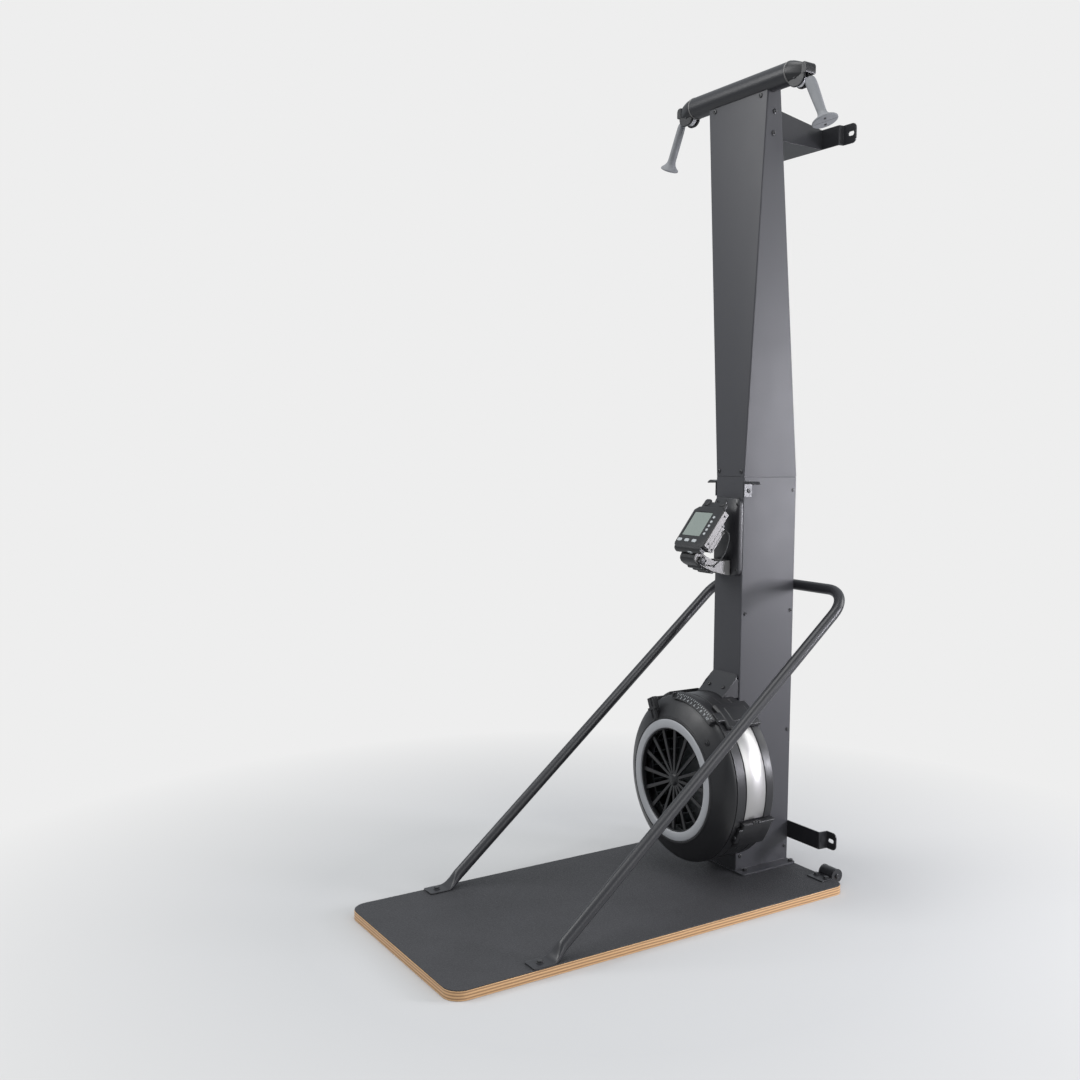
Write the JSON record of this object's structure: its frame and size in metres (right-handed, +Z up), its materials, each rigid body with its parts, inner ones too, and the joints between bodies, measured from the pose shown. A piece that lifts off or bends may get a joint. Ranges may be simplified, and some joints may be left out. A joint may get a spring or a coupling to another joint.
{
  "type": "ski trainer machine",
  "caption": "Standing ski trainer: platform, tapered column with cross tube, pull cords with handles, fan with damper, tilting monitor, brace rail",
  "frame": {"origin": "centre of the platform's underside, on the floor", "axes": "+X to the user's right as the user faces the machine, +Y away from the user to the wall, +Z up"},
  "size_m": [0.7146, 1.2536, 2.248],
  "materials": {
    "plywood": "clear sealed plywood edge",
    "mat_rubber": "fine pebbled black rubber",
    "black_zinc": "black zinc, satin",
    "column_paint": "matt fine-textured black powder coat",
    "black_paint": "satin black powder coat",
    "bare_steel": "machined",
    "silver_ring": "satin silver",
    "black_plastic": "fine matt black",
    "pale_plastic": "smooth pale grey",
    "steel_band": "brushed round the drum",
    "flywheel_metal": "cast, dull",
    "sheave_metal": "turned",
    "cord_sheath": "black braided sheath",
    "grip_rubber": "soft matt grey",
    "wheel_rubber": "black",
    "display": "grey-green display window",
    "key_plastic": "pale grey"
  },
  "bodies": {
    "frame": {"deck_board": "plywood", "deck_mat": "mat_rubber", "fasteners": "black_zinc", "column_lower": "column_paint", "column_lower_back": "column_paint", "column_upper": "column_paint", "column_upper_back": "column_paint", "column_sleeve": "bare_steel", "head_tube": "black_paint", "swivel_rings": "silver_ring", "wall_bracket_upper": "black_paint", "wall_bracket_lower": "black_paint", "storage_hooks": "black_paint", "brace_rail": "black_paint", "wheel_brackets": "black_paint", "neck_bracket": "black_paint", "fan_front_shell": "black_plastic", "fan_trim_ring": "pale_plastic", "fan_grille": "black_plastic", "fan_bands": "steel_band", "fan_rear_shell": "black_plastic", "fan_clamps": "black_plastic", "shaft_frame": "bare_steel", "bearings": "bare_steel", "pulley_bracket": "bare_steel", "cord_right": "cord_sheath", "cord_left": "cord_sheath", "monitor_mount": "black_paint", "monitor_arm": "silver_ring"},
    "flywheel": {"flywheel": "flywheel_metal", "drive_shaft": "bare_steel"},
    "damper": {"damper_ring": "black_plastic"},
    "monitor": {"monitor_case": "black_plastic", "monitor_back": "silver_ring", "monitor_screen": "display", "monitor_cable": "cord_sheath"},
    "head_right": {"head_right": "black_plastic", "nose_cord_right": "cord_sheath", "tail_cord_right": "cord_sheath"},
    "head_sheave_right": {"head_sheave_right": "sheave_metal"},
    "turn_sheave_right": {"turn_sheave_right": "sheave_metal"},
    "spool_right": {"spool_right": "black_plastic"},
    "handle_right": {"handle_right": "grip_rubber"},
    "wheel_right": {"wheel_right": "wheel_rubber"},
    "head_left": {"head_left": "black_plastic", "nose_cord_left": "cord_sheath", "tail_cord_left": "cord_sheath"},
    "head_sheave_left": {"head_sheave_left": "sheave_metal"},
    "turn_sheave_left": {"turn_sheave_left": "sheave_metal"},
    "spool_left": {"spool_left": "black_plastic"},
    "handle_left": {"handle_left": "grip_rubber"},
    "wheel_left": {"wheel_left": "wheel_rubber"},
    "key_1": {"key_1": "key_plastic"},
    "key_2": {"key_2": "key_plastic"},
    "key_3": {"key_3": "key_plastic"},
    "key_4": {"key_4": "key_plastic"},
    "key_5": {"key_5": "key_plastic"},
    "menu_key_1": {"menu_key_1": "key_plastic"},
    "menu_key_2": {"menu_key_2": "key_plastic"},
    "menu_key_3": {"menu_key_3": "key_plastic"}
  },
  "joints": [
    {"name": "flywheel_spin", "type": "hinge", "parent": "frame", "child": "flywheel", "pos_m": [0, 0.4, 0.311], "axis": [0, 1, 0], "continuous": true},
    {"name": "damper_turn", "type": "hinge", "parent": "frame", "child": "damper", "pos_m": [0, 0.22, 0.311], "axis": [0, 1, 0], "range_deg": [-6, 42]},
    {"name": "monitor_tilt", "type": "hinge", "parent": "frame", "child": "monitor", "pos_m": [0, 0.295, 0.928], "axis": [1, 0, 0], "range_deg": [-4, 25]},
    {"name": "head_right_swivel", "type": "hinge", "parent": "frame", "child": "head_right", "pos_m": [0.21, 0.425, 2.2175], "axis": [1, 0, 0], "range_deg": [-60, 20]},
    {"name": "handle_right_pull", "type": "slide", "parent": "head_right", "child": "handle_right", "axis": [0.454, 0, -0.891], "range_m": [0, 1], "stiffness_N_per_m": 20, "springref_m": -0.3, "deforming": ["tail_cord_right"]},
    {"name": "spool_right_turn", "type": "hinge", "parent": "frame", "child": "spool_right", "pos_m": [0, 0.458, 0.311], "axis": [0, 1, 0], "range_deg": [-1760, 0]},
    {"name": "turn_sheave_right_turn", "type": "hinge", "parent": "frame", "child": "turn_sheave_right", "pos_m": [0.034, 0.425, 2.199], "axis": [0, 1, 0], "range_deg": [0, 2730]},
    {"name": "head_sheave_right_turn", "type": "hinge", "parent": "head_right", "child": "head_sheave_right", "pos_m": [0.229, 0.425, 2.199], "axis": [0, 1, 0], "range_deg": [0, 2730]},
    {"name": "wheel_right_roll", "type": "hinge", "parent": "frame", "child": "wheel_right", "pos_m": [0.225, 0.625, 0.03], "axis": [1, 0, 0], "continuous": true},
    {"name": "head_left_swivel", "type": "hinge", "parent": "frame", "child": "head_left", "pos_m": [-0.21, 0.425, 2.2175], "axis": [1, 0, 0], "range_deg": [-60, 20]},
    {"name": "handle_left_pull", "type": "slide", "parent": "head_left", "child": "handle_left", "axis": [-0.454, 0, -0.891], "range_m": [0, 1], "stiffness_N_per_m": 20, "springref_m": -0.3, "deforming": ["tail_cord_left"]},
    {"name": "spool_left_turn", "type": "hinge", "parent": "frame", "child": "spool_left", "pos_m": [0, 0.498, 0.311], "axis": [0, 1, 0], "range_deg": [-1760, 0]},
    {"name": "turn_sheave_left_turn", "type": "hinge", "parent": "frame", "child": "turn_sheave_left", "pos_m": [-0.034, 0.425, 2.199], "axis": [0, 1, 0], "range_deg": [-2730, 0]},
    {"name": "head_sheave_left_turn", "type": "hinge", "parent": "head_left", "child": "head_sheave_left", "pos_m": [-0.229, 0.425, 2.199], "axis": [0, 1, 0], "range_deg": [-2730, 0]},
    {"name": "wheel_left_roll", "type": "hinge", "parent": "frame", "child": "wheel_left", "pos_m": [-0.225, 0.625, 0.03], "axis": [1, 0, 0], "continuous": true},
    {"name": "key_1_press", "type": "slide", "parent": "monitor", "child": "key_1", "axis": [0, 0.7965, -0.6046], "range_m": [0, 0.001], "stiffness_N_per_m": 500, "springref_m": -0.0005},
    {"name": "key_2_press", "type": "slide", "parent": "monitor", "child": "key_2", "axis": [0, 0.7965, -0.6046], "range_m": [0, 0.001], "stiffness_N_per_m": 500, "springref_m": -0.0005},
    {"name": "key_3_press", "type": "slide", "parent": "monitor", "child": "key_3", "axis": [0, 0.7965, -0.6046], "range_m": [0, 0.001], "stiffness_N_per_m": 500, "springref_m": -0.0005},
    {"name": "key_4_press", "type": "slide", "parent": "monitor", "child": "key_4", "axis": [0, 0.7965, -0.6046], "range_m": [0, 0.001], "stiffness_N_per_m": 500, "springref_m": -0.0005},
    {"name": "key_5_press", "type": "slide", "parent": "monitor", "child": "key_5", "axis": [0, 0.7965, -0.6046], "range_m": [0, 0.001], "stiffness_N_per_m": 500, "springref_m": -0.0005},
    {"name": "menu_key_1_press", "type": "slide", "parent": "monitor", "child": "menu_key_1", "axis": [0, 0.7965, -0.6046], "range_m": [0, 0.001], "stiffness_N_per_m": 500, "springref_m": -0.0005},
    {"name": "menu_key_2_press", "type": "slide", "parent": "monitor", "child": "menu_key_2", "axis": [0, 0.7965, -0.6046], "range_m": [0, 0.001], "stiffness_N_per_m": 500, "springref_m": -0.0005},
    {"name": "menu_key_3_press", "type": "slide", "parent": "monitor", "child": "menu_key_3", "axis": [0, 0.7965, -0.6046], "range_m": [0, 0.001], "stiffness_N_per_m": 500, "springref_m": -0.0005}
  ],
  "couplings": [
    {"joint": "spool_right_turn", "follows": "handle_right_pull", "rad_per_m": -30.58},
    {"joint": "turn_sheave_right_turn", "follows": "handle_right_pull", "rad_per_m": 47.62},
    {"joint": "head_sheave_right_turn", "follows": "handle_right_pull", "rad_per_m": 47.62},
    {"joint": "spool_left_turn", "follows": "handle_left_pull", "rad_per_m": -30.58},
    {"joint": "turn_sheave_left_turn", "follows": "handle_left_pull", "rad_per_m": -47.62},
    {"joint": "head_sheave_left_turn", "follows": "handle_left_pull", "rad_per_m": -47.62}
  ]
}
